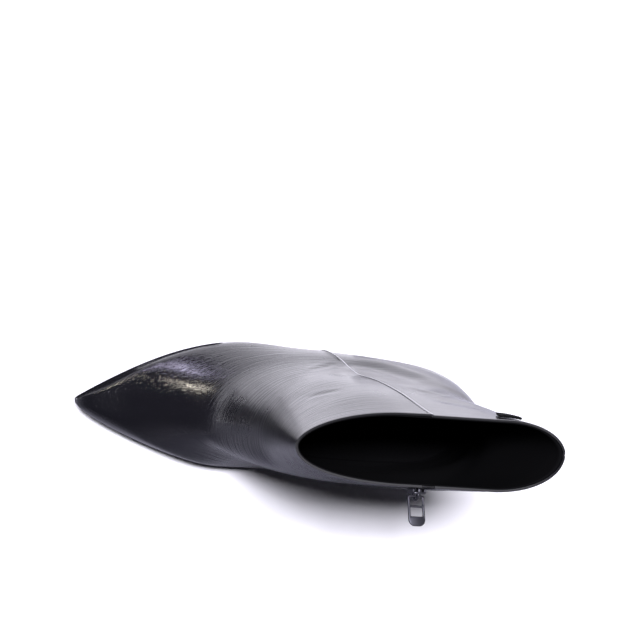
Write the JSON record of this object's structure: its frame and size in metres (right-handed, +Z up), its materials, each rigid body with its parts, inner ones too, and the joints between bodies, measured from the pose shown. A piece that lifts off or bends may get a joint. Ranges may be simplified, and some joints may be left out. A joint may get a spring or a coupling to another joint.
{
  "type": "ankle boot",
  "caption": "Black patent ankle boot for the right foot, with a pointed toe, slim heel, slack flattened shaft, open collar and a medial zip with a hinged pull tab.",
  "frame": {"origin": "on the floor, at the middle of the boot's box seen from above", "axes": "+X to the toe, +Y to the medial side with the zip, +Z up"},
  "size_m": [0.2598, 0.0894, 0.1931],
  "materials": {
    "upper_patent": "glossy crinkled black patent leather",
    "lining": "matt black textile lining",
    "outsole": "satin black moulded rubber",
    "heel_cover": "glossy black covered heel",
    "top_piece": "matt black hard rubber",
    "zip_tape": "woven black zip tape with dark teeth",
    "zip_metal": "gunmetal plating",
    "webbing": "matt black woven tab"
  },
  "bodies": {
    "boot": {"upper": "upper_patent", "insole": "lining", "outsole": "outsole", "heel": "heel_cover", "heel_top_piece": "top_piece", "zip_tape": "zip_tape", "zip_slider": "zip_metal", "side_tab": "webbing"},
    "pull": {"zip_pull": "zip_metal"}
  },
  "joints": [
    {"name": "pull_hinge", "type": "hinge", "parent": "boot", "child": "pull", "pos_m": [-0.05768, 0.02994, 0.17327], "axis": [-0.9737, 0.0497, -0.2223], "range_deg": [-68, 87]}
  ]
}
